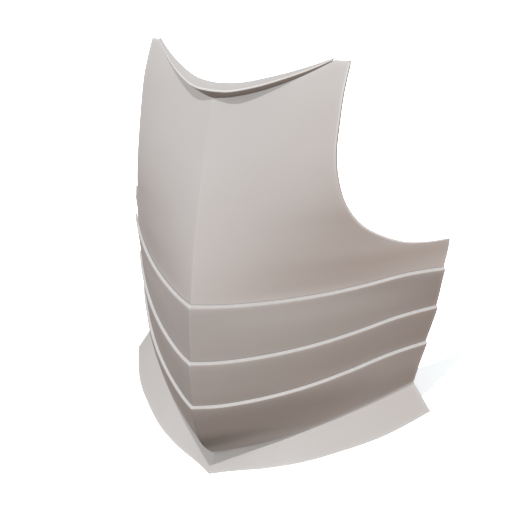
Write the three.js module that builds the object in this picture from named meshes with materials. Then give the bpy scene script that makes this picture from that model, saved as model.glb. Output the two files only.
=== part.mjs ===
import * as THREE from "three";

// Steel breastplate with three overlapping belly lames and a flared skirt.
// Millimetres. +Z is up, -Y is the front and X runs across the body.
// The plates are laid out upright, with the waist seam's ridge point at zero,
// and then lean back as a whole so that the skirt's rim stands level.

// Sheet
const plateThickness = 3;
const seatGap = 0.3;
const lapLength = 9;
const edgeBevel = 2.4;

// Body outline
const halfWidth = 198;
const bodyDepth = 218;
const shoulderHeight = 241.8;
const armCornerHeight = 36;
const armHalfWidth = 115.5;
const shoulderTipFall = 1.6;

// Neck
const neckHeight = 207;
const neckHalfWidth = 100.5;
const flangeReach = 12;
const flangeLipHeight = 8.6;
const flangeHeight = 15.5;
const flangeStepBack = 4.1;
const flangeLip = 1.4;

// Seams, each lame's height at the ridge and at its side edge
const waistSideRise = 2.4;
const seamDip = 5;
const upperLame = { ridgeHeight: 63, sideHeight: 45 };
const middleLame = { ridgeHeight: 52, sideHeight: 42 };
const lowerLame = { ridgeHeight: 73, sideHeight: 46.5 };

// Skirt rim
const leanBack = 15;
const skirtDrop = 22.6;
const skirtTuck = 8;
const rimHalfWidth = 191;
const rimDepth = 168;
const rimSetback = 32.5;

// Mesh fineness
const neckColumns = 13;
const shoulderColumns = 2;
const sideRows = 4;
const armRows = 17;
const lameRows = 6;
const skirtRows = 3;

const bellyHeight = upperLame.ridgeHeight + middleLame.ridgeHeight + lowerLame.ridgeHeight;
const lapStep = plateThickness + seatGap;
const leanSlope = Math.tan(THREE.MathUtils.degToRad(leanBack));

// Ridge and wrap of the body at each level. Level is a share of the shoulder
// height above the waist and of the belly height below it. Setback is how far
// the ridge lies behind its waist point, and wrap how far the side lies behind
// the ridge, both as shares of the body depth. Straight is the share of the wrap
// that runs straight from the ridge to the side; the rest rounds the side.
const bodySections = [
  { level: 1.03, setback: 0.335, wrap: 0.693, straight: 0.5 },
  { level: 0.94, setback: 0.282, wrap: 0.674, straight: 0.5 },
  { level: 0.86, setback: 0.241, wrap: 0.655, straight: 0.52 },
  { level: 0.73, setback: 0.189, wrap: 0.72, straight: 0.47 },
  { level: 0.62, setback: 0.149, wrap: 0.79, straight: 0.44 },
  { level: 0.5, setback: 0.107, wrap: 0.84, straight: 0.48 },
  { level: 0.4, setback: 0.076, wrap: 0.885, straight: 0.53 },
  { level: 0.3, setback: 0.048, wrap: 0.94, straight: 0.59 },
  { level: 0.225, setback: 0.031, wrap: 0.97, straight: 0.635 },
  { level: 0.16, setback: 0.019, wrap: 0.98, straight: 0.685 },
  { level: 0.08, setback: 0.008, wrap: 1, straight: 0.74 },
  { level: 0, setback: 0, wrap: 1.01, straight: 0.79 },
  { level: -0.17, setback: -0.009, wrap: 1.05, straight: 0.76 },
  { level: -0.33, setback: -0.011, wrap: 1.08, straight: 0.745 },
  { level: -0.47, setback: -0.007, wrap: 1.1, straight: 0.743 },
  { level: -0.61, setback: 0.005, wrap: 1.1, straight: 0.75 },
  { level: -0.74, setback: 0.035, wrap: 1.09, straight: 0.77 },
  { level: -0.86, setback: 0.075, wrap: 1.08, straight: 0.79 },
  { level: -0.93, setback: 0.122, wrap: 1.06, straight: 0.8 },
  { level: -1, setback: 0.19, wrap: 1.03, straight: 0.8 },
  { level: -1.08, setback: 0.27, wrap: 1, straight: 0.8 },
];

// Side edge below the arm opening, as shares of the half width
const sideOutline = [
  { level: 0.2, reach: 1 },
  { level: 0.15, reach: 1 },
  { level: 0, reach: 0.978 },
  { level: -0.23, reach: 0.949 },
  { level: -0.45, reach: 0.908 },
  { level: -0.7, reach: 0.862 },
  { level: -0.8, reach: 0.845 },
];

// Arm opening from its lower corner up to the shoulder tip. Rise is a share of
// the opening's height, and reach of the step from the chest to the half width.
const armOutline = [
  { rise: 0, reach: 1 },
  { rise: 0.008, reach: 0.8 },
  { rise: 0.031, reach: 0.61 },
  { rise: 0.089, reach: 0.41 },
  { rise: 0.171, reach: 0.235 },
  { rise: 0.288, reach: 0.11 },
  { rise: 0.414, reach: 0.04 },
  { rise: 0.556, reach: 0 },
  { rise: 0.78, reach: 0 },
  { rise: 1, reach: 0 },
];

// Run of a seam from the ridge to the side. Rise is a share of the seam's rise
// at the side, and dip of the seam dip.
const seamShape = [
  { across: 0, rise: 0, dip: 0 },
  { across: 0.1, rise: 0.03, dip: -0.58 },
  { across: 0.25, rise: 0.125, dip: -0.95 },
  { across: 0.4, rise: 0.25, dip: -0.98 },
  { across: 0.55, rise: 0.41, dip: -0.75 },
  { across: 0.7, rise: 0.59, dip: -0.15 },
  { across: 0.84, rise: 0.77, dip: 0.55 },
  { across: 0.93, rise: 0.9, dip: 0.4 },
  { across: 1, rise: 1, dip: 0 },
];

// Neck edge and its turned-out flange from the ridge to the shoulder. Rise is a
// share of the neck's rise. Reach and lip are how far the flange's lip stands
// forward of the neck edge and above it, and step and up how far its top edge
// stands behind the neck edge and above it, all as shares of their named sizes.
const neckShape = [
  { across: 0, rise: 0, reach: 0.49, lip: 1, step: 1, up: 1 },
  { across: 0.08, rise: 0.012, reach: 0.68, lip: 0.965, step: 0.61, up: 0.985 },
  { across: 0.16, rise: 0.04, reach: 0.87, lip: 0.885, step: 0.41, up: 0.925 },
  { across: 0.26, rise: 0.095, reach: 0.975, lip: 0.85, step: 0.2, up: 0.865 },
  { across: 0.37, rise: 0.176, reach: 0.87, lip: 0.78, step: 0.2, up: 0.82 },
  { across: 0.5, rise: 0.297, reach: 0.66, lip: 0.685, step: 0.46, up: 0.75 },
  { across: 0.62, rise: 0.433, reach: 0.475, lip: 0.59, step: 0.76, up: 0.64 },
  { across: 0.74, rise: 0.59, reach: 0.275, lip: 0.455, step: 0.95, up: 0.515 },
  { across: 0.86, rise: 0.768, reach: 0.16, lip: 0.3, step: 0.98, up: 0.38 },
  { across: 1, rise: 1, reach: 0.07, lip: 0.15, step: 0.83, up: 0.18 },
];

// Skirt rim from the front tip to the back corner, as shares of its half width
// and of its depth
const rimShape = [
  { across: 0, back: 0 },
  { across: 0.105, back: 0.065 },
  { across: 0.3, back: 0.17 },
  { across: 0.48, back: 0.3 },
  { across: 0.64, back: 0.46 },
  { across: 0.805, back: 0.655 },
  { across: 0.89, back: 0.79 },
  { across: 1, back: 1 },
];

const steel = { color: 0xbdb4ae, roughness: 0.42, metalness: 0.9 };

// A smooth curve through one column of a table
function column(rows, at, name) {
  const sorted = [...rows].sort((a, b) => a[at] - b[at]);
  const keys = Float32Array.from(sorted, (row) => row[at]);
  const values = Float32Array.from(sorted, (row) => row[name]);
  const curve = new THREE.CubicInterpolant(keys, values, 1);
  return (t) => curve.evaluate(THREE.MathUtils.clamp(t, keys[0], keys[keys.length - 1]))[0];
}

const setbackAt = column(bodySections, "level", "setback");
const wrapAt = column(bodySections, "level", "wrap");
const straightAt = column(bodySections, "level", "straight");
const sideReachAt = column(sideOutline, "level", "reach");
const seamRiseAt = column(seamShape, "across", "rise");
const seamDipAt = column(seamShape, "across", "dip");
const neckRiseAt = column(neckShape, "across", "rise");
const flangeReachAt = column(neckShape, "across", "reach");
const flangeLipAt = column(neckShape, "across", "lip");
const flangeStepAt = column(neckShape, "across", "step");
const flangeUpAt = column(neckShape, "across", "up");
const rimBackAt = column(rimShape, "across", "back");

function levelOf(z) {
  return z > 0 ? z / shoulderHeight : z / bellyHeight;
}

// Depth of the body surface behind the waist ridge point, at x across and z up
function bodySurface(x, z) {
  const level = levelOf(z);
  const s = Math.abs(x) / halfWidth;
  const straight = straightAt(level);
  const bend = straight * s + (1 - straight) * s ** 3;
  return bodyDepth * (setbackAt(level) + wrapAt(level) * bend);
}

function slopes(x, z) {
  const step = 0.5;
  const ax = Math.abs(x);
  const across = (bodySurface(ax + step, z) - bodySurface(Math.max(ax - step, 0), z)) /
    (step + Math.min(step, ax));
  const along = (bodySurface(x, z + step) - bodySurface(x, z - step)) / (2 * step);
  return { across, along, length: Math.hypot(1, across, along) };
}

// A point at a distance out from the body surface. At the ridge the two sides
// meet in a mitre.
function bodyPoint(x, z, out) {
  const { across, along, length } = slopes(x, z);
  const y = bodySurface(x, z);
  if (Math.abs(x) < 1e-6) {
    const mitre = out * length / (1 + along ** 2);
    return new THREE.Vector3(0, y - mitre, z + mitre * along);
  }
  const share = out / length;
  return new THREE.Vector3(x + share * across * Math.sign(x), y - share, z + share * along);
}

function sideReach(z) {
  return halfWidth * sideReachAt(levelOf(z));
}

// The shares across the body at which every plate has its columns. One of them
// falls on the end of the neck opening.
const columnsPerHalf = neckColumns + shoulderColumns;
const neckShare = neckHalfWidth / armHalfWidth;
const columns = [0];
for (let i = 1; i <= columnsPerHalf; i += 1) {
  const share = i <= neckColumns
    ? neckShare * i / neckColumns
    : neckShare + (1 - neckShare) * (i - neckColumns) / shoulderColumns;
  columns.push(share);
  columns.unshift(-share);
}

function seam(ridgeLevel, sideLevel, dip) {
  return (u) => ridgeLevel + (sideLevel - ridgeLevel) * seamRiseAt(Math.abs(u)) +
    dip * seamDipAt(Math.abs(u));
}

const ridgeLevels = [0];
const sideLevels = [waistSideRise];
for (const lame of [upperLame, middleLame, lowerLame]) {
  ridgeLevels.push(ridgeLevels[ridgeLevels.length - 1] - lame.ridgeHeight);
  sideLevels.push(sideLevels[sideLevels.length - 1] - lame.sideHeight);
}
const seams = ridgeLevels.map((level, i) => seam(level, sideLevels[i], i < 3 ? seamDip : 0));

// How far out a lame's face lies from the body surface: a full step at its top
// seam, nothing at its lower one
function lameOut(index, u, z) {
  const top = seams[index](u);
  const bottom = seams[index + 1](u);
  return lapStep * (z - bottom) / (top - bottom);
}

// A closed sheet from two grids of points, the outer face and the inner one
function sheet(name, outer, inner) {
  const rows = outer.length;
  const cols = outer[0].length;
  const positions = [];
  for (const grid of [outer, inner]) {
    for (const row of grid) {
      for (const point of row) {
        positions.push(point.x, point.y, point.z);
      }
    }
  }
  const at = (side, r, c) => side * rows * cols + r * cols + c;
  const index = [];
  const quad = (a, b, c, d, turn) => {
    if (turn) {
      index.push(a, b, d, b, c, d);
    } else {
      index.push(a, b, c, a, c, d);
    }
  };
  for (let r = 0; r + 1 < rows; r += 1) {
    for (let c = 0; c + 1 < cols; c += 1) {
      const left = c < (cols - 1) / 2;
      quad(at(0, r, c), at(0, r + 1, c), at(0, r + 1, c + 1), at(0, r, c + 1), left);
      quad(at(1, r, c), at(1, r, c + 1), at(1, r + 1, c + 1), at(1, r + 1, c), !left);
    }
  }
  const border = [];
  for (let r = 0; r < rows - 1; r += 1) border.push([r, 0]);
  for (let c = 0; c < cols - 1; c += 1) border.push([rows - 1, c]);
  for (let r = rows - 1; r > 0; r -= 1) border.push([r, cols - 1]);
  for (let c = cols - 1; c > 0; c -= 1) border.push([0, c]);
  border.forEach(([r, c], i) => {
    const [nextR, nextC] = border[(i + 1) % border.length];
    quad(at(0, nextR, nextC), at(0, r, c), at(1, r, c), at(1, nextR, nextC), false);
  });
  const geometry = new THREE.BufferGeometry();
  geometry.setAttribute("position", new THREE.Float32BufferAttribute(positions, 3));
  geometry.setIndex(index);
  geometry.computeVertexNormals();
  const mesh = new THREE.Mesh(geometry, new THREE.MeshStandardMaterial(steel));
  mesh.name = name;
  return mesh;
}

// Chest plate. Its rows run from the lap under the first lame up the side edge,
// and then up the arm opening, which is cut straight back, to the shoulder and
// neck.
function chestRows() {
  const rows = [];
  const corner = { x: halfWidth, z: armCornerHeight };
  for (let i = 0; i <= sideRows; i += 1) {
    const share = i / sideRows;
    rows.push({ lap: i === 0, share });
  }
  const outline = new THREE.CatmullRomCurve3(
    armOutline.map(({ rise, reach }) => new THREE.Vector3(
      armHalfWidth + (halfWidth - armHalfWidth) * reach,
      0,
      armCornerHeight + (shoulderHeight - armCornerHeight) * rise,
    )),
    false,
    "centripetal",
  );
  for (let i = 1; i <= armRows; i += 1) {
    const share = i / armRows;
    const edge = outline.getPointAt(share);
    rows.push({
      edge,
      ridge: corner.z + (neckHeight - corner.z) * share,
      share,
    });
  }
  return rows;
}

// How far the neck edge has risen at a share across the body. Past the neck's
// end the shoulder falls a little toward its tip.
function neckBlend(u) {
  const share = Math.abs(u) / neckShare;
  const past = Math.max(0, share - 1) / (1 / neckShare - 1);
  const fall = shoulderTipFall / (shoulderHeight - neckHeight);
  return neckRiseAt(Math.min(1, share)) - fall * past;
}

function chestPlate() {
  const outer = [];
  const inner = [];
  for (const row of chestRows()) {
    const outerRow = [];
    const innerRow = [];
    for (const u of columns) {
      let x;
      let z;
      let out = 0;
      if (row.edge) {
        z = row.ridge + (row.edge.z - row.ridge) * neckBlend(u);
        x = u * row.edge.x;
      } else if (row.lap) {
        z = seams[0](u) - lapLength;
        x = u * sideReach(z);
        out = lameOut(0, u, z) - lapStep;
      } else {
        z = seams[0](u) + (armCornerHeight - seams[0](u)) * (row.share - 1 / sideRows) /
          (1 - 1 / sideRows);
        x = u * sideReach(z);
      }
      const point = bodyPoint(x, z, out);
      outerRow.push(point);
      if (row.edge && Math.abs(u) === 1) {
        const depth = plateThickness * slopes(x, z).length;
        innerRow.push(point.clone().setY(point.y + depth));
      } else {
        innerRow.push(bodyPoint(x, z, out - plateThickness));
      }
    }
    outer.unshift(outerRow);
    inner.unshift(innerRow);
  }
  return sheet("breast_plate", outer, inner);
}

// A lame from its bevelled top edge down to its lower seam. It either laps on
// inside the next lame or, on the lowest one, has a row where the skirt's tuck
// ends.
function lame(name, index, { lap = 0, tuck = 0 }) {
  const outer = [];
  const inner = [];
  const evenRows = lameRows - (tuck > 0 ? 1 : 0);
  for (let r = 0; r <= lameRows + (lap > 0 ? 1 : 0); r += 1) {
    const outerRow = [];
    const innerRow = [];
    for (const u of columns) {
      const top = seams[index](u);
      const bottom = seams[index + 1](u);
      let z = top + (bottom + tuck - top) * Math.min(r, evenRows) / evenRows;
      let out = lameOut(index, u, z);
      if (tuck > 0 && r > evenRows) {
        z = bottom;
        out = 0;
      }
      if (lap > 0 && r > lameRows) {
        z = bottom - lap;
        out = lameOut(index + 1, u, z) - lapStep;
      }
      const innerZ = r === 0 ? z + edgeBevel : z;
      outerRow.push(bodyPoint(u * sideReach(z), z, out));
      innerRow.push(bodyPoint(u * sideReach(innerZ), innerZ, out - plateThickness));
    }
    outer.push(outerRow);
    inner.push(innerRow);
  }
  return sheet(name, outer, inner);
}

// Neck flange: a turned-out edge that sits on the chest plate's neck edge and
// narrows toward both shoulders
function neckFlange() {
  const ends = columns.filter((u) => Math.abs(u) <= neckShare + 1e-9);
  const rings = [];
  for (const u of ends) {
    const share = Math.abs(u) / neckShare;
    const x = u * armHalfWidth;
    const z = neckHeight + (shoulderHeight - neckHeight) * neckBlend(u);
    const outerEdge = bodyPoint(x, z, 0);
    const innerEdge = bodyPoint(x, z, -plateThickness);
    const reach = flangeReach * flangeReachAt(share);
    const lip = flangeLipHeight * flangeLipAt(share) + seatGap;
    const step = flangeStepBack * flangeStepAt(share);
    const top = flangeHeight * flangeUpAt(share);
    rings.push([
      innerEdge.add(new THREE.Vector3(0, 0, seatGap)),
      outerEdge.clone().add(new THREE.Vector3(0, 0, seatGap)),
      outerEdge.clone().add(new THREE.Vector3(0, -reach, lip - flangeLip / 2)),
      outerEdge.clone().add(new THREE.Vector3(0, -reach, lip + flangeLip / 2)),
      outerEdge.clone().add(new THREE.Vector3(0, step, top)),
      outerEdge.clone().add(new THREE.Vector3(0, step + flangeLip, top - flangeLip)),
    ]);
  }
  const positions = rings.flat().flatMap((point) => [point.x, point.y, point.z]);
  const size = rings[0].length;
  const index = [];
  for (let i = 0; i + 1 < rings.length; i += 1) {
    for (let k = 0; k < size; k += 1) {
      const next = (k + 1) % size;
      const a = i * size + k;
      const b = i * size + next;
      const c = (i + 1) * size + next;
      const d = (i + 1) * size + k;
      if (i < neckColumns) {
        index.push(a, d, b, b, d, c);
      } else {
        index.push(a, c, b, a, d, c);
      }
    }
  }
  const last = (rings.length - 1) * size;
  for (let k = 1; k + 1 < size; k += 1) {
    index.push(0, k, k + 1);
    index.push(last, last + k + 1, last + k);
  }
  const geometry = new THREE.BufferGeometry();
  geometry.setAttribute("position", new THREE.Float32BufferAttribute(positions, 3));
  geometry.setIndex(index);
  geometry.computeVertexNormals();
  const mesh = new THREE.Mesh(geometry, new THREE.MeshStandardMaterial(steel));
  mesh.name = "neck_flange";
  return mesh;
}

// Skirt: tucked up inside the lowest lame, bent out at its edge and cut off at
// the level rim
function rimLevel(y) {
  return ridgeLevels[3] - skirtDrop + leanSlope * (y - rimSetback);
}

function skirt() {
  const outer = [];
  const inner = [];
  for (const u of columns) {
    const share = Math.abs(u);
    const edge = seams[3](u);
    const tuckZ = edge + skirtTuck;
    const bendZ = edge - seatGap;
    const rimY = rimSetback + rimDepth * rimBackAt(share);
    const path = [
      bodyPoint(u * sideReach(tuckZ), tuckZ, lameOut(2, u, tuckZ) - lapStep),
      bodyPoint(u * sideReach(bendZ), bendZ, -lapStep),
    ];
    const rim = new THREE.Vector3(u * rimHalfWidth, rimY, rimLevel(rimY));
    for (let i = 1; i <= skirtRows; i += 1) {
      path.push(path[1].clone().lerp(rim, i / skirtRows));
    }
    outer.push(path);
  }
  const rows = outer[0].length;
  const middle = columnsPerHalf;
  for (let c = 0; c < outer.length; c += 1) {
    const path = outer[c];
    const across = new THREE.Vector3();
    const innerPath = [];
    const down = [];
    for (let r = 0; r + 1 < rows; r += 1) {
      down.push(path[r + 1].clone().sub(path[r]).normalize());
    }
    for (let r = 0; r < rows; r += 1) {
      const lowC = c > middle ? c - 1 : Math.max(c - 1, 0);
      const highC = c < middle ? c + 1 : Math.min(c + 1, outer.length - 1);
      across.subVectors(outer[highC][r], outer[lowC][r]);
      const before = down[Math.max(r - 1, 0)];
      const after = down[Math.min(r, rows - 2)];
      const first = new THREE.Vector3().crossVectors(across, before).normalize();
      const second = new THREE.Vector3().crossVectors(across, after).normalize();
      if (first.y > 0) first.negate();
      if (second.y > 0) second.negate();
      const normal = first.clone().add(second).normalize();
      let depth = plateThickness / normal.dot(first);
      if (c === middle) {
        const sideAcross = outer[c + 1][r].clone().sub(path[r]);
        const sideNormal = new THREE.Vector3().crossVectors(sideAcross, after).normalize();
        depth /= Math.abs(normal.dot(sideNormal)) / Math.abs(normal.dot(second));
      }
      innerPath.push(path[r].clone().addScaledVector(normal, -depth));
    }
    const last = innerPath[rows - 1];
    const slide = innerPath[rows - 2].clone().sub(last).normalize();
    const above = last.z - rimLevel(last.y);
    const rate = slide.z - leanSlope * slide.y;
    last.addScaledVector(slide, -above / rate);
    inner.push(innerPath);
  }
  const turned = (grid) => grid[0].map((_, r) => grid.map((path) => path[r]));
  return sheet("skirt_flange", turned(outer), turned(inner));
}

const body = new THREE.Group();
body.add(
  chestPlate(),
  neckFlange(),
  lame("lame_upper", 0, { lap: lapLength }),
  lame("lame_middle", 1, { lap: lapLength }),
  lame("lame_lower", 2, { tuck: skirtTuck }),
  skirt(),
);
body.rotation.x = -THREE.MathUtils.degToRad(leanBack);

const breastplate = new THREE.Group();
breastplate.add(body);
const box = new THREE.Box3().setFromObject(breastplate, true);
const centre = box.getCenter(new THREE.Vector3());
body.position.set(0, -centre.y, -box.min.z);
breastplate.updateMatrixWorld(true);

export default breastplate;
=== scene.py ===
import math

import bmesh
import bpy
import numpy as np
from mathutils import Matrix, Vector


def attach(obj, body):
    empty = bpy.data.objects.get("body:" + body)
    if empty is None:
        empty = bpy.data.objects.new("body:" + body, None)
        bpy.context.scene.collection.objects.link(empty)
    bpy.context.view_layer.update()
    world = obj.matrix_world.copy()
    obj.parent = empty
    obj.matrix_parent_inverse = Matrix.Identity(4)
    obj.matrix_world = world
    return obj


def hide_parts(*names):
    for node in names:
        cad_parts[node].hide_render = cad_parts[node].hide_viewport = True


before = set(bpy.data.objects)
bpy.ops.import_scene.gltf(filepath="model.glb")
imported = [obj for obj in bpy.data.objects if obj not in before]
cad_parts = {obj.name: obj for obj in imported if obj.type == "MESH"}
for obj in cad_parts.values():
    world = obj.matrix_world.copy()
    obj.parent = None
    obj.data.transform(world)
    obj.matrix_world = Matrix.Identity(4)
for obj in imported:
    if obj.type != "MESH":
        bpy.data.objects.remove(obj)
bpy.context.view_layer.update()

# Shapes are worked out in millimetres.
MM = 0.001

# Sheet
PLATE = 3.0
SEAT_GAP = 0.3
LAP_LENGTH = 9.0
EDGE_BEVEL = 2.4
EDGE_ROUND = 0.55
RIDGE_ROUND = 0.7
MITRE_ZONE = 20.0

# Body outline
HALF_WIDTH = 198.0
BODY_DEPTH = 218.0
SHOULDER_HEIGHT = 241.8
ARM_CORNER_HEIGHT = 36.0
ARM_HALF_WIDTH = 115.5
SHOULDER_TIP_FALL = 1.6
SHOULDER_TIP_BACK = 3.3

# Neck
NECK_HEIGHT = 207.0
NECK_HALF_WIDTH = 100.5
FLANGE_REACH = 12.0
FLANGE_LIP_HEIGHT = 8.6
FLANGE_HEIGHT = 15.5
FLANGE_STEP_BACK = 4.1
FLANGE_LIP = 1.4
FLANGE_ROOT = 0.02
NEAR_LIP = 0.9

# Seams and skirt
WAIST_SIDE_RISE = 2.4
SEAM_DIP = 5.0
LAMES = [(63.0, 45.0), (52.0, 42.0), (73.0, 46.5)]
LEAN_BACK = 15.0
SKIRT_DROP = 22.6
SKIRT_TUCK = 8.0
RIM_HALF_WIDTH = 191.0
RIM_DEPTH = 168.0
RIM_SETBACK = 32.5

# Mesh rows and columns
LAP_ROWS = 3
SIDE_ROWS = 14
ARM_ROWS = 64
LAME_ROWS = 18
SKIRT_ROWS = 10
RIDGE_COLUMNS = [0, 0.4, 0.9, 1.5, 2.3, 3.4, 5, 7.5]
FIRST_EVEN_SHARE = 0.055
NECK_COLUMNS = 44
SHOULDER_COLUMNS = 8
ARM_CURVE_STEPS = 40
EDGE_SEGMENTS = 3

# Steps and tolerance of the sums
LEVELLING_STEPS = 6
SLOPE_HALF_STEP = 0.5
TOLERANCE = 1e-6

# Wear and painted light: 1 is bare polished steel, used both for worn edges and for painted
# highlights, and below 0 is painted shade
EDGE_WEAR_AND_HIGHLIGHT = 0.22
# The lames' edges are brighter, as a painted highlight on their bevelled tops as well as wear.
LAME_EDGE_WEAR_AND_HIGHLIGHT = 0.35
EDGE_MARK_FADE = 2.2
# Arm opening edges: a painted highlight on the outer face and painted shade on the inner face
CUT_PAINTED_HIGHLIGHT = 0.6
CUT_PAINTED_SHADE = 2.2
ARM_LIGHT_FADE_SHARE = 0.45

# UVs: the inside and the collar lie apart from the outside, in metres
INSIDE_UV = 1.0
COLLAR_UV = 2.0
SECTION_UV_STEP = 4.0

# Steel
# Painted shade: one steel, in darker copies for the collar, lames and skirt
STEEL_PAINTED_SHADES = {"chest": 1.0, "collar": 0.92, "lame": 0.82, "skirt": 0.95}
METALLIC = 0.85
DARK_STEEL = (0.53, 0.492, 0.47)
LIGHT_STEEL = (0.55, 0.511, 0.488)
# Colour of worn edges, also used for painted highlights
WORN_AND_HIGHLIGHT_STEEL = (0.8, 0.78, 0.76)
# Colour of painted shade, where the marks go below 0
PAINTED_SHADE_TINT = (0.2, 0.15, 0.12)
NOISE_LOW, NOISE_HIGH = 0.3, 0.7
MOTTLE_ROUGHNESS = (0.48, 0.52)
BRUSHED_ROUGHNESS = (-0.03, 0.03)
WORN_SMOOTHNESS = 0.08
PATCHY_WEAR_AND_HIGHLIGHT = (0.75, 1.0)
BRUSHING = (16.0, 900.0, 1.0)
GRAIN_HEIGHT = 0.5
BUMP_STRENGTH = 0.05
BUMP_HEIGHT = 0.0004

# Floor, in metres
FLOOR_HALF = 6
FLOOR_TONE = 0.85
FLOOR_ROUGHNESS = 0.8
FLOOR_GLOW = 0.35

# Room light by height, from straight down at 0 to straight up at 1
ROOM = [
    (0.0, (0, 0, 0)),
    (0.24, (0.38, 0.28, 0.23)),
    (0.3, (0.7, 0.67, 0.66)),
    (0.36, (0.82, 0.83, 0.85)),
    (0.55, (0.76, 0.77, 0.79)),
    (0.7, (0.81, 0.86, 0.9)),
    (1.0, (0.68, 0.74, 0.78)),
]
ROOM_RIGHT = (0.15, 0.1, 0.06)
ROOM_HIGH_LEFT = (0.28, 0.27, 0.25)

# Lamp, in degrees
LAMP_AZIMUTH = 7.6
LAMP_ELEVATION = 75.5
LAMP_ANGLE = 1.2
LAMP_ENERGY = 9.0
SHEEN_ENERGY = 0.2

# Camera
CAMERA = (0.70422, -1.12116, 1.10457)
CAMERA_RIGHT = (0.88906, 0.4422, -0.11849)
CAMERA_UP = (-0.16406, 0.54938, 0.81931)
SENSOR = 36
FOCAL_PIXELS = 1497.926
PHOTO_PIXELS = 512
FAR_CLIP = 50

# Body: level, setback, wrap, straight share
BODY = np.array([
    (1.03, 0.335, 0.693, 0.5), (0.94, 0.282, 0.674, 0.5), (0.86, 0.241, 0.655, 0.52),
    (0.73, 0.189, 0.72, 0.47), (0.62, 0.149, 0.79, 0.44), (0.5, 0.107, 0.84, 0.48),
    (0.4, 0.076, 0.885, 0.53), (0.3, 0.048, 0.94, 0.59), (0.225, 0.031, 0.97, 0.635),
    (0.16, 0.019, 0.98, 0.685), (0.08, 0.008, 1, 0.74), (0, 0, 1.01, 0.79),
    (-0.17, -0.009, 1.05, 0.76), (-0.33, -0.011, 1.08, 0.745), (-0.47, -0.007, 1.1, 0.743),
    (-0.61, 0.005, 1.1, 0.75), (-0.74, 0.035, 1.09, 0.77), (-0.86, 0.075, 1.08, 0.79),
    (-0.93, 0.122, 1.06, 0.8), (-1, 0.19, 1.03, 0.8), (-1.08, 0.27, 1, 0.8),
])
# Side: level, reach
SIDE = np.array([(0.2, 1), (0.15, 1), (0, 0.978), (-0.23, 0.949), (-0.45, 0.908),
                 (-0.7, 0.862), (-0.8, 0.845)])
# Arm opening: rise, reach
ARM = np.array([(0, 1), (0.008, 0.8), (0.031, 0.61), (0.089, 0.41), (0.171, 0.235),
                (0.288, 0.11), (0.414, 0.04), (0.556, 0), (0.78, 0), (1, 0)])
# Seam: across, rise, dip
SEAM = np.array([(0, 0, 0), (0.1, 0.03, -0.58), (0.25, 0.125, -0.95), (0.4, 0.25, -0.98),
                 (0.55, 0.41, -0.75), (0.7, 0.59, -0.15), (0.84, 0.77, 0.55),
                 (0.93, 0.9, 0.4), (1, 1, 0)])
# Neck: across, rise, reach, lip, step, up
NECK = np.array([(0, 0, 0.49, 1, 1, 1), (0.08, 0.012, 0.68, 0.965, 0.61, 0.985),
                 (0.16, 0.04, 0.87, 0.885, 0.41, 0.925), (0.26, 0.095, 0.975, 0.85, 0.2, 0.865),
                 (0.37, 0.176, 0.87, 0.78, 0.2, 0.82), (0.5, 0.297, 0.66, 0.685, 0.46, 0.75),
                 (0.62, 0.433, 0.475, 0.59, 0.76, 0.64), (0.74, 0.59, 0.275, 0.455, 0.95, 0.515),
                 (0.86, 0.768, 0.16, 0.3, 0.98, 0.38), (1, 1, 0.07, 0.15, 0.83, 0.18)])
# Rim: across, back
RIM = np.array([(0, 0), (0.105, 0.065), (0.3, 0.17), (0.48, 0.3), (0.64, 0.46),
                (0.805, 0.655), (0.89, 0.79), (1, 1)])


def column(table, index):
    """A smooth curve through one column of a table, by the table's first column."""
    rows = table[np.argsort(table[:, 0])]
    keys, values = rows[:, 0], rows[:, index]
    secant = np.diff(values) / np.diff(keys)
    slope = np.concatenate([secant[:1], (secant[:-1] + secant[1:]) / 2, secant[-1:]])

    def at(t):
        t = np.clip(t, keys[0], keys[-1])
        i = np.clip(np.searchsorted(keys, t) - 1, 0, len(keys) - 2)
        step = keys[i + 1] - keys[i]
        p = (t - keys[i]) / step
        return ((2 * p**3 - 3 * p**2 + 1) * values[i] + (p**3 - 2 * p**2 + p) * step * slope[i]
                + (3 * p**2 - 2 * p**3) * values[i + 1] + (p**3 - p**2) * step * slope[i + 1])

    return at


setback_at, wrap_at, straight_at = (column(BODY, i) for i in (1, 2, 3))
side_reach_at = column(SIDE, 1)
seam_rise_at, seam_dip_at = (column(SEAM, i) for i in (1, 2))
neck_rise_at, flange_reach_at, flange_lip_at, flange_step_at, flange_up_at = (
    column(NECK, i) for i in (1, 2, 3, 4, 5))
rim_back_at = column(RIM, 1)

BELLY = sum(ridge for ridge, side in LAMES)
LAP_STEP = PLATE + SEAT_GAP
LEAN_SLOPE = math.tan(math.radians(LEAN_BACK))
NECK_SHARE = NECK_HALF_WIDTH / ARM_HALF_WIDTH

half_shares = np.concatenate([np.array(RIDGE_COLUMNS) / HALF_WIDTH,
                              np.linspace(FIRST_EVEN_SHARE, NECK_SHARE, NECK_COLUMNS),
                              np.linspace(NECK_SHARE, 1, SHOULDER_COLUMNS + 1)[1:]])
SHARES = np.concatenate([-half_shares[:0:-1], half_shares])

ridge_levels = -np.concatenate([[0], np.cumsum([ridge for ridge, side in LAMES])])
side_levels = WAIST_SIDE_RISE - np.concatenate([[0], np.cumsum([side for ridge, side in LAMES])])


def level_of(z):
    """Height as a share of the way up to the shoulder, or below the waist down to the rim."""
    return np.where(z > 0, z / SHOULDER_HEIGHT, z / BELLY)


def side_reach(z):
    """Half of the plates' width at a height."""
    return HALF_WIDTH * side_reach_at(level_of(z))


def body_surface(x, z):
    """Depth of the body surface, with the ridge rounded a little."""
    level = level_of(z)
    s = (np.sqrt(x**2 + RIDGE_ROUND**2) - RIDGE_ROUND) / HALF_WIDTH
    straight = straight_at(level)
    curve = straight * s + (1 - straight) * s**3
    return BODY_DEPTH * (setback_at(level) + wrap_at(level) * curve)


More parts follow.
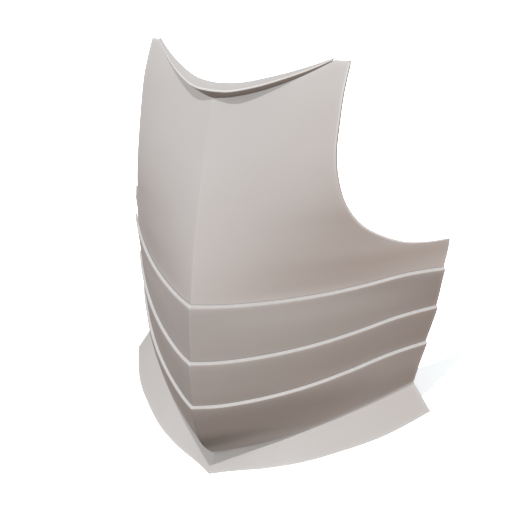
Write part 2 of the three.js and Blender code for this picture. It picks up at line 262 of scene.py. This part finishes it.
def body_point(x, z, out):
    """A point at a distance out from the body surface, along its normal."""
    x, z, out = np.broadcast_arrays(*(np.asarray(a, float) for a in (x, z, out)))
    level = level_of(z)
    s, straight = np.abs(x) / HALF_WIDTH, straight_at(level)
    steepness = BODY_DEPTH / HALF_WIDTH * wrap_at(level)
    across = np.sign(x) * steepness * (straight + 3 * (1 - straight) * s**2)
    across = np.where(x == 0, steepness * straight, across)
    above, below = body_surface(x, z + SLOPE_HALF_STEP), body_surface(x, z - SLOPE_HALF_STEP)
    along = (above - below) / (2 * SLOPE_HALF_STEP)
    wide = np.sqrt(1 + across**2 + along**2)
    # Next to the ridge the point slides along its face, so that the two faces keep their mitre.
    slide = np.clip(np.abs(x) / MITRE_ZONE, 0, 1)
    slide = slide * slide * (3 - 2 * slide)
    share = slide * out / wide
    return np.stack([x + share * across,
                     body_surface(x, z) - share - (1 - slide) * out * wide,
                     z + share * along], -1)


def plate_row(x, z, out):
    """A row of points on the outside of a plate, and the row behind it on the inside."""
    return body_point(x, z, out), body_point(x, z, out - PLATE)


def seam(i, u):
    """Height of the seam above lame i. The last one is the skirt's, which has no dip."""
    u = np.abs(u)
    dip = SEAM_DIP if i < len(LAMES) else 0
    return (ridge_levels[i] + (side_levels[i] - ridge_levels[i]) * seam_rise_at(u)
            + dip * seam_dip_at(u))


def lame_out(i, u, z):
    """How far a lame stands out, from a full lap at its top to nothing at its bottom."""
    top, bottom = seam(i, u), seam(i + 1, u)
    return LAP_STEP * (z - bottom) / (top - bottom)


def running_length(points, axis=0):
    """Length along the lines of points that run along an axis, from 0 at their start."""
    steps = np.linalg.norm(np.diff(points, axis=axis), axis=-1)
    start = np.zeros_like(np.take(steps, [0], axis=axis))
    return np.concatenate([start, np.cumsum(steps, axis=axis)], axis=axis)


def arm_outline(n):
    """Points at even lengths along the arm opening, from its lower corner to the shoulder."""
    pts = np.stack([ARM_HALF_WIDTH + (HALF_WIDTH - ARM_HALF_WIDTH) * ARM[:, 1],
                    ARM_CORNER_HEIGHT + (SHOULDER_HEIGHT - ARM_CORNER_HEIGHT) * ARM[:, 0]], 1)
    ends = np.vstack([2 * pts[0] - pts[1], pts, 2 * pts[-1] - pts[-2]])
    t = np.linspace(0, 1, ARM_CURVE_STEPS, endpoint=False)[:, None]
    fine = []
    for i in range(1, len(ends) - 2):
        # A centripetal curve through the points, which doesn't overshoot
        a, b, c, d = ends[i - 1:i + 3]
        ab, bc, cd = (np.linalg.norm(q - p) ** 0.5 for p, q in ((a, b), (b, c), (c, d)))
        into = ((b - a) / ab - (c - a) / (ab + bc) + (c - b) / bc) * bc
        away = ((c - b) / bc - (d - b) / (bc + cd) + (d - c) / cd) * bc
        fine.append(b + into * t + (3 * (c - b) - 2 * into - away) * t**2
                    + (2 * (b - c) + into + away) * t**3)
    fine = np.vstack(fine + [pts[-1:]])
    length = running_length(fine)
    even = np.linspace(0, length[-1], n + 1)
    return np.stack([np.interp(even, length, fine[:, 0]), np.interp(even, length, fine[:, 1])], 1)


# The plates are laid out upright and lean back as a whole on the level rim.
lean = math.radians(LEAN_BACK)
TURN = np.array([[1, 0, 0],
                 [0, math.cos(lean), math.sin(lean)],
                 [0, -math.sin(lean), math.cos(lean)]])
# Centres the part's box from front to back and sets its rim on the floor.
SHIFT = np.array([0.0, -94.1031, 211.8356])


def placed(points):
    """Points in metres in the part's own frame."""
    return (points @ TURN.T + SHIFT) * MM


def mesh_piece(name, vertices, faces, uvs, wear_and_painted_light, hard_edges, node):
    """A piece with its own UVs in metres, its edge wear and painted light, and its rounded hard
    edges.
    """
    mesh = bpy.data.meshes.new(name)
    mesh.from_pydata([tuple(v) for v in placed(vertices)], [], faces)
    mesh.update()
    bm = bmesh.new()
    bm.from_mesh(mesh)
    bmesh.ops.recalc_face_normals(bm, faces=bm.faces)
    bm.to_mesh(mesh)
    bm.free()
    layer = mesh.uv_layers.new(name="plate")
    for loop in mesh.loops:
        layer.data[loop.index].uv = uvs[loop.vertex_index]
    wear_and_light_marks = mesh.attributes.new("wear_and_painted_light", "FLOAT", "POINT")
    wear_and_light_marks.data.foreach_set("value", np.asarray(wear_and_painted_light, dtype=np.float32))
    weight = mesh.attributes.new("bevel_weight_edge", "FLOAT", "EDGE")
    hard = {tuple(sorted(e)) for e in hard_edges}
    weight.data.foreach_set("value", [1.0 if tuple(sorted(e.vertices)) in hard else 0.0
                                      for e in mesh.edges])
    mesh.polygons.foreach_set("use_smooth", [True] * len(mesh.polygons))
    piece = bpy.data.objects.new(name, mesh)
    bpy.context.scene.collection.objects.link(piece)
    bevel = piece.modifiers.new("rounded_edges", "BEVEL")
    bevel.width = EDGE_ROUND * MM
    bevel.segments = EDGE_SEGMENTS
    bevel.limit_method = "WEIGHT"
    bevel.harden_normals = True
    bevel.use_clamp_overlap = True
    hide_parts(node)
    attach(piece, "root")
    return piece


def sheet(name, node, outer, inner, edge_wear_and_highlight=EDGE_WEAR_AND_HIGHLIGHT, edge_light_share=0):
    """A closed plate from two grids of points. Rows and columns run along the sheet.

    The edge light share gives for each row how strong a painted highlight its outer ends get, and
    how strong a painted shade its inner ones."""
    rows, cols = outer.shape[:2]
    points = np.concatenate([outer.reshape(-1, 3), inner.reshape(-1, 3)])

    def at(side, r, c):
        return side * rows * cols + r * cols + c

    faces = []
    for r in range(rows - 1):
        for c in range(cols - 1):
            faces.append((at(0, r, c), at(0, r + 1, c), at(0, r + 1, c + 1), at(0, r, c + 1)))
            faces.append((at(1, r, c), at(1, r, c + 1), at(1, r + 1, c + 1), at(1, r + 1, c)))
    border = ([(r, 0) for r in range(rows - 1)] + [(rows - 1, c) for c in range(cols - 1)]
              + [(r, cols - 1) for r in range(rows - 1, 0, -1)]
              + [(0, c) for c in range(cols - 1, 0, -1)])
    hard = []
    for (r, c), (nr, nc) in zip(border, border[1:] + border[:1]):
        faces.append((at(0, nr, nc), at(0, r, c), at(1, r, c), at(1, nr, nc)))
        hard += [(at(0, r, c), at(0, nr, nc)), (at(1, r, c), at(1, nr, nc))]
    for r, c in ((0, 0), (0, cols - 1), (rows - 1, 0), (rows - 1, cols - 1)):
        hard.append((at(0, r, c), at(1, r, c)))
    # UVs: length across the plate from its middle, and down it
    across = running_length(outer, axis=1)
    across -= across[:, cols // 2][:, None]
    grid = np.stack([across, running_length(outer)], -1).reshape(-1, 2) * MM
    uvs = np.concatenate([grid, grid + [0, INSIDE_UV]])
    # Edge wear and a painted highlight fade in from the plate's own border.
    near = np.full((rows, cols), np.inf)
    for r, c in border:
        near = np.minimum(near, np.linalg.norm(outer - outer[r, c], axis=-1))
    outside = edge_wear_and_highlight * np.exp(-near / EDGE_MARK_FADE)
    inside = outside.copy()
    # Painted highlight on the outer face at the side ends, painted shade on the inner face.
    for end in (0, -1):
        outside[:, end] += CUT_PAINTED_HIGHLIGHT * edge_light_share
        inside[:, end] -= CUT_PAINTED_SHADE * edge_light_share
    wear_and_painted_light = np.concatenate([outside.ravel(), inside.ravel()])
    return mesh_piece(name, points, faces, uvs, wear_and_painted_light, hard, node)


def neck_blend(u):
    """Height of the top edge, as a share of the way from the neck's dip to the shoulder."""
    share = np.abs(u) / NECK_SHARE
    past = np.maximum(0, share - 1) / (1 / NECK_SHARE - 1)
    fall = SHOULDER_TIP_FALL / (SHOULDER_HEIGHT - NECK_HEIGHT)
    return neck_rise_at(np.minimum(1, share)) - fall * past


def levelled(x, z, outside):
    """Inner points that lie level with the outer edge once the plate leans back."""
    rise = 0 * z
    for _ in range(LEVELLING_STEPS):
        inside = body_point(x, z + rise, -PLATE)
        rise = rise + outside[:, 2] + LEAN_SLOPE * (inside[:, 1] - outside[:, 1]) - inside[:, 2]
    return inside


def chest_plate():
    """The ridged chest plate, from its lap inside the upper lame to the neck and shoulders."""
    u = SHARES
    waist = seam(0, u)
    rows = []
    for k in range(LAP_ROWS):
        z = waist - LAP_LENGTH * (LAP_ROWS - k) / LAP_ROWS
        rows.append(plate_row(u * side_reach(z), z, lame_out(0, u, z) - LAP_STEP))
    for k in range(SIDE_ROWS + 1):
        z = waist + (ARM_CORNER_HEIGHT - waist) * k / SIDE_ROWS
        rows.append(plate_row(u * side_reach(z), z, 0))
    edge = arm_outline(ARM_ROWS)
    blend = neck_blend(u)
    for k in range(1, ARM_ROWS + 1):
        ridge = ARM_CORNER_HEIGHT + (NECK_HEIGHT - ARM_CORNER_HEIGHT) * k / ARM_ROWS
        z = ridge + (edge[k, 1] - ridge) * blend
        x = u * edge[k, 0]
        outside, inside = plate_row(x, z, 0)
        # The arm opening is cut straight back.
        for end in (0, -1):
            through = inside[end] - outside[end]
            inside[end] = outside[end] + [0, through @ through / abs(through[1]), 0]
        rows.append((outside, inside))
    # The shoulder ends are cut level.
    shoulder = np.abs(u) > NECK_SHARE + TOLERANCE
    inside[shoulder] = levelled(x, z, outside)[shoulder]
    for end in (0, -1):
        inside[end] = outside[end] + [0, SHOULDER_TIP_BACK, SHOULDER_TIP_BACK * LEAN_SLOPE]
    outer, inner = np.array(rows[::-1]).swapaxes(0, 1)
    # The painted highlight and painted shade along the side edges are strongest at the top of the
    # arm opening and fade downward.
    edge_light_share = np.sqrt(np.clip(1 - np.arange(len(rows)) / (ARM_ROWS * ARM_LIGHT_FADE_SHARE), 0, 1))
    return sheet("chest_plate", "breast_plate", outer, inner, edge_light_share=edge_light_share)


def lame(name, node, i, lap):
    """A belly lame, from its bevelled top edge to its lap inside the lame below."""
    u = SHARES
    top, bottom = seam(i, u), seam(i + 1, u)
    rows = []
    for r in range(LAME_ROWS + 1):
        z = top + (bottom - top) * (r / LAME_ROWS)
        rows.append(plate_row(u * side_reach(z), z, lame_out(i, u, z)))
    # The top edge slants up to the inside.
    slant = top + EDGE_BEVEL
    rows[0] = (rows[0][0], body_point(u * side_reach(slant), slant, LAP_STEP - PLATE))
    if lap:
        for k in range(1, LAP_ROWS + 1):
            z = bottom - lap * k / LAP_ROWS
            rows.append(plate_row(u * side_reach(z), z, lame_out(i + 1, u, z) - LAP_STEP))
    outer, inner = np.array(rows).swapaxes(0, 1)
    return sheet(name, node, outer, inner, edge_wear_and_highlight=LAME_EDGE_WEAR_AND_HIGHLIGHT)


def neck_flange():
    """The collar: one section carried along the neck edge, bent out to a lip and back."""
    u = SHARES[np.abs(SHARES) <= NECK_SHARE + TOLERANCE]
    share = np.abs(u) / NECK_SHARE
    z = NECK_HEIGHT + (SHOULDER_HEIGHT - NECK_HEIGHT) * neck_blend(u)
    outer_edge, inner_edge = plate_row(u * ARM_HALF_WIDTH, z, 0)
    reach = FLANGE_REACH * flange_reach_at(share)
    lip = FLANGE_LIP_HEIGHT * flange_lip_at(share) + SEAT_GAP
    step = FLANGE_STEP_BACK * flange_step_at(share)
    top = FLANGE_HEIGHT * flange_up_at(share)
    low_lip, high_lip = lip - FLANGE_LIP / 2, lip + FLANGE_LIP / 2
    # Section: starts from, back, up, wear and painted light, crisp. A painted highlight of 1 runs
    # along the lip, and painted shade below 0 lies under the collar.
    section = [
        # Painted shade at the collar's root and on its underside
        (inner_edge, 0, FLANGE_ROOT, -0.4, True),
        (outer_edge, 0, FLANGE_ROOT, -0.6, True),
        (outer_edge, -reach * NEAR_LIP, SEAT_GAP + (low_lip - SEAT_GAP) * NEAR_LIP, -0.35, False),
        # Painted highlight along the lip
        (outer_edge, -reach, low_lip, 1, True),
        (outer_edge, -reach, high_lip, 1, True),
        (outer_edge, step + (-reach - step) * NEAR_LIP, top + (high_lip - top) * NEAR_LIP,
         0, False),
        (outer_edge, step, top, 0.1, True),
        (outer_edge, step + FLANGE_LIP, top - FLANGE_LIP, 0, True),
    ]
    rings = np.stack([edge + np.stack([0 * u, back + 0 * u, rise + 0 * u], -1)
                      for edge, back, rise, wear_and_painted_light, crisp in section], 1)
    n, size = rings.shape[:2]
    faces, hard = [], []
    for i in range(n - 1):
        for k in range(size):
            m = (k + 1) % size
            faces.append((i * size + k, i * size + m, (i + 1) * size + m, (i + 1) * size + k))
            if section[k][-1]:
                hard.append((i * size + k, (i + 1) * size + k))
    faces.append(tuple(range(size)))
    faces.append(tuple((n - 1) * size + k for k in reversed(range(size))))
    for start in (0, (n - 1) * size):
        hard += [(start + k, start + (k + 1) % size) for k in range(size)]
    along = np.repeat(running_length(outer_edge), size)
    around = np.tile(np.arange(size) * SECTION_UV_STEP, n)
    uvs = np.stack([along, around], 1) * MM + [0, COLLAR_UV]
    wear_and_light_marks = np.tile([wear_and_painted_light for edge, back, rise, wear_and_painted_light, crisp in section], n)
    return mesh_piece("neck_collar", rings.reshape(-1, 3), faces, uvs, wear_and_light_marks, hard, "neck_flange")


def rim_level(y):
    """Height of the rim's plane, which lies flat on the floor once the plates lean back."""
    return ridge_levels[-1] - SKIRT_DROP + LEAN_SLOPE * (y - RIM_SETBACK)


def unit(vectors):
    """The same directions with a length of 1."""
    return vectors / np.linalg.norm(vectors, axis=-1, keepdims=True)


def skirt():
    """The flared skirt, from its tuck inside the lowest lame to the level rim."""
    u = SHARES
    last = len(LAMES) - 1
    edge = seam(last + 1, u)
    tuck, bend = edge + SKIRT_TUCK, edge - SEAT_GAP
    rim_y = RIM_SETBACK + RIM_DEPTH * rim_back_at(np.abs(u))
    rim = np.stack([u * RIM_HALF_WIDTH, rim_y, rim_level(rim_y)], -1)
    start = body_point(u * side_reach(tuck), tuck, lame_out(last, u, tuck) - LAP_STEP)
    corner = body_point(u * side_reach(bend), bend, -LAP_STEP)
    outer = np.array([start, corner] + [corner + (rim - corner) * k / SKIRT_ROWS
                                        for k in range(1, SKIRT_ROWS + 1)])
    # The inside lies a plate's thickness behind the faces of the outside.
    facing = unit(np.cross(np.gradient(outer, axis=1)[:-1], np.diff(outer, axis=0)))
    facing *= -np.sign(facing[..., 1:2])
    normal = unit(np.concatenate([facing[:1], facing[:-1] + facing[1:], facing[-1:]]))
    faces = np.concatenate([facing, facing[-1:]])
    inner = outer - normal * PLATE / (normal * faces).sum(-1, keepdims=True)
    # Its lower edge is slid along the face to the rim's plane.
    slide = unit(inner[-2] - inner[-1])
    above = inner[-1][:, 2] - rim_level(inner[-1][:, 1])
    rate = slide[:, 2] - LEAN_SLOPE * slide[:, 1]
    inner[-1] -= slide * (above / rate)[:, None]
    for k in range(1, SKIRT_ROWS):
        inner[1 + k] = inner[1] + (inner[-1] - inner[1]) * k / SKIRT_ROWS
    return sheet("skirt_plate", "skirt_flange", outer, inner)


pieces = [
    chest_plate(),
    neck_flange(),
    lame("belly_lame_upper", "lame_upper", 0, LAP_LENGTH),
    lame("belly_lame_middle", "lame_middle", 1, LAP_LENGTH),
    lame("belly_lame_lower", "lame_lower", 2, 0),
    skirt(),
]
PIECE_PAINTED_SHADES = ["chest", "collar", "lame", "lame", "lame", "skirt"]

# Sockets of a Mix node that mixes colours
MIX_SHARE, MIX_UNDER, MIX_OVER, MIX_RESULT = 0, 6, 7, 2


def add_node(tree, kind, inputs, **settings):
    """A new node. Each of its inputs is linked to a socket or set to a value."""
    node = tree.nodes.new("ShaderNode" + kind)
    for key, value in settings.items():
        setattr(node, key, value)
    for key, value in inputs.items():
        if isinstance(value, bpy.types.NodeSocket):
            tree.links.new(value, node.inputs[key])
        else:
            node.inputs[key].default_value = value
    return node


def mixed(tree, share, under, over, blend="MIX"):
    """A colour laid over another one by a share."""
    inputs = {MIX_SHARE: share, MIX_UNDER: under, MIX_OVER: (*over, 1)}
    return add_node(tree, "Mix", inputs, data_type="RGBA", blend_type=blend).outputs[MIX_RESULT]


def computed(tree, kind, a, b):
    """The result of a sum on two values."""
    return add_node(tree, "Math", {0: a, 1: b}, operation=kind).outputs[0]


def steel(name, shade):
    """Satin steel, brushed and mottled. Shade darkens the whole copy as painted shade, and the
    marks add wear, painted highlights and painted shade.
    """
    material = bpy.data.materials.new(name)
    material.use_nodes = True
    tree = material.node_tree
    tree.nodes.clear()
    place = add_node(tree, "TexCoord", {}).outputs["Object"]
    uv = add_node(tree, "UVMap", {}, uv_map="plate").outputs["UV"]
    wear_and_light_marks = add_node(tree, "Attribute", {}, attribute_name="wear_and_painted_light").outputs["Fac"]

    def noise(vector, scale, detail, roughness):
        inputs = {"Vector": vector, "Scale": scale, "Detail": detail, "Roughness": roughness}
        return add_node(tree, "TexNoise", inputs).outputs["Fac"]

    def ranged(value, low, high):
        inputs = {"Value": value, "From Min": NOISE_LOW, "From Max": NOISE_HIGH,
                  "To Min": low, "To Max": high}
        return add_node(tree, "MapRange", inputs).outputs["Result"]

    mottle = noise(place, scale=14.0, detail=4.0, roughness=0.55)
    grain = noise(place, scale=900.0, detail=2.0, roughness=0.5)
    patchy = noise(place, scale=120.0, detail=3.0, roughness=0.6)
    stretched = add_node(tree, "Mapping", {"Vector": uv, "Scale": BRUSHING}).outputs["Vector"]
    brushed = noise(stretched, scale=1.0, detail=3.0, roughness=0.6)
    wear_and_painted_light = computed(tree, "MULTIPLY", wear_and_light_marks, ranged(patchy, *PATCHY_WEAR_AND_HIGHLIGHT))

    dark = (*(shade * c for c in DARK_STEEL), 1)
    light = [shade * c for c in LIGHT_STEEL]
    colour = mixed(tree, ranged(mottle, 0.0, 1.0), dark, light)
    # Worn edges and painted highlights: brighter steel where the marks are above 0.
    colour = mixed(tree, wear_and_painted_light, colour, WORN_AND_HIGHLIGHT_STEEL)
    # Painted shade: a dark tint where the marks go below 0.
    colour = mixed(tree, computed(tree, "MULTIPLY", wear_and_light_marks, -1.0), colour, PAINTED_SHADE_TINT)

    roughness = computed(tree, "ADD", ranged(mottle, *MOTTLE_ROUGHNESS),
                         ranged(brushed, *BRUSHED_ROUGHNESS))
    smoother = computed(tree, "MULTIPLY", wear_and_painted_light, WORN_SMOOTHNESS)
    roughness = computed(tree, "SUBTRACT", roughness, smoother)

    relief = computed(tree, "ADD", brushed, computed(tree, "MULTIPLY", grain, GRAIN_HEIGHT))
    bump = add_node(tree, "Bump", {"Strength": BUMP_STRENGTH, "Distance": BUMP_HEIGHT,
                                   "Height": relief})
    shader = add_node(tree, "BsdfPrincipled", {"Base Color": colour, "Roughness": roughness,
                                               "Metallic": METALLIC,
                                               "Normal": bump.outputs["Normal"]})
    add_node(tree, "OutputMaterial", {"Surface": shader.outputs["BSDF"]})
    return material


# Painted shade: each piece gets a copy of one steel, darkened by its share.
shaded_copies = {kind: steel(kind + "_steel_shaded_copy", shade) for kind, shade in STEEL_PAINTED_SHADES.items()}
for piece, kind in zip(pieces, PIECE_PAINTED_SHADES):
    piece.data.materials.append(shaded_copies[kind])

# Floor: it shows to the camera alone
floor_mesh = bpy.data.meshes.new("floor")
corners = [(x * FLOOR_HALF, y * FLOOR_HALF, 0) for x, y in ((-1, -1), (1, -1), (1, 1), (-1, 1))]
floor_mesh.from_pydata(corners, [], [(0, 1, 2, 3)])
floor = bpy.data.objects.new("floor", floor_mesh)
bpy.context.scene.collection.objects.link(floor)
paint = bpy.data.materials.new("floor_paint")
paint.use_nodes = True
coat = paint.node_tree.nodes["Principled BSDF"].inputs
coat["Base Color"].default_value = (FLOOR_TONE, FLOOR_TONE, FLOOR_TONE, 1)
coat["Roughness"].default_value = FLOOR_ROUGHNESS
coat["Emission Color"].default_value = (1, 1, 1, 1)
coat["Emission Strength"].default_value = FLOOR_GLOW
floor.data.materials.append(paint)
floor.visible_glossy = False
floor.visible_diffuse = False
floor.visible_shadow = False

# Light: a bright, even room over a dark ground, warmer to the right and brighter high on the left
world = bpy.data.worlds.new("studio")
bpy.context.scene.world = world
world.use_nodes = True
tree = world.node_tree
toward = add_node(tree, "TexCoord", {}).outputs["Generated"]
parts = add_node(tree, "SeparateXYZ", {0: toward}).outputs
height = add_node(tree, "MapRange", {"Value": parts["Z"], "From Min": -1, "From Max": 1})
ramp = add_node(tree, "ValToRGB", {0: height.outputs["Result"]})
stops = ramp.color_ramp.elements
stops.remove(stops[1])
for i, (level, tint) in enumerate(ROOM):
    stop = stops[0] if i == 0 else stops.new(level)
    stop.color = (*tint, 1)
room = mixed(tree, parts["X"], ramp.outputs[0], ROOM_RIGHT, blend="ADD")
to_left = computed(tree, "MULTIPLY", parts["X"], -1)
high_left = computed(tree, "MINIMUM", to_left, parts["Z"])
room = mixed(tree, high_left, room, ROOM_HIGH_LEFT, blend="ADD")
tree.links.new(room, tree.nodes["Background"].inputs["Color"])
tree.nodes["Background"].inputs["Strength"].default_value = 1


def lamp(name, energy, sheen):
    """A small lamp high in front. Without sheen it lights the plates but leaves no highlight."""
    data = bpy.data.lights.new(name, "SUN")
    data.energy = energy
    data.angle = math.radians(LAMP_ANGLE)
    light = bpy.data.objects.new(name, data)
    bpy.context.scene.collection.objects.link(light)
    azimuth, elevation = math.radians(LAMP_AZIMUTH), math.radians(LAMP_ELEVATION)
    to_lamp = Vector((math.sin(azimuth) * math.cos(elevation),
                      -math.cos(azimuth) * math.cos(elevation), math.sin(elevation)))
    light.rotation_mode = "QUATERNION"
    light.rotation_quaternion = to_lamp.to_track_quat("Z", "Y")
    light.visible_glossy = sheen


lamp("key", LAMP_ENERGY, False)
lamp("key_sheen", SHEEN_ENERGY, True)

right, up = (Vector(v).normalized() for v in (CAMERA_RIGHT, CAMERA_UP))
back = right.cross(up)
lens = bpy.data.cameras.new("camera")
lens.sensor_width = SENSOR
lens.lens = SENSOR * FOCAL_PIXELS / PHOTO_PIXELS
lens.clip_end = FAR_CLIP
camera = bpy.data.objects.new("camera", lens)
camera.matrix_world = Matrix((
    (right.x, up.x, back.x, CAMERA[0]),
    (right.y, up.y, back.y, CAMERA[1]),
    (right.z, up.z, back.z, CAMERA[2]),
    (0, 0, 0, 1),
))
bpy.context.scene.collection.objects.link(camera)
bpy.context.scene.camera = camera
bpy.context.scene.view_settings.view_transform = "Standard"
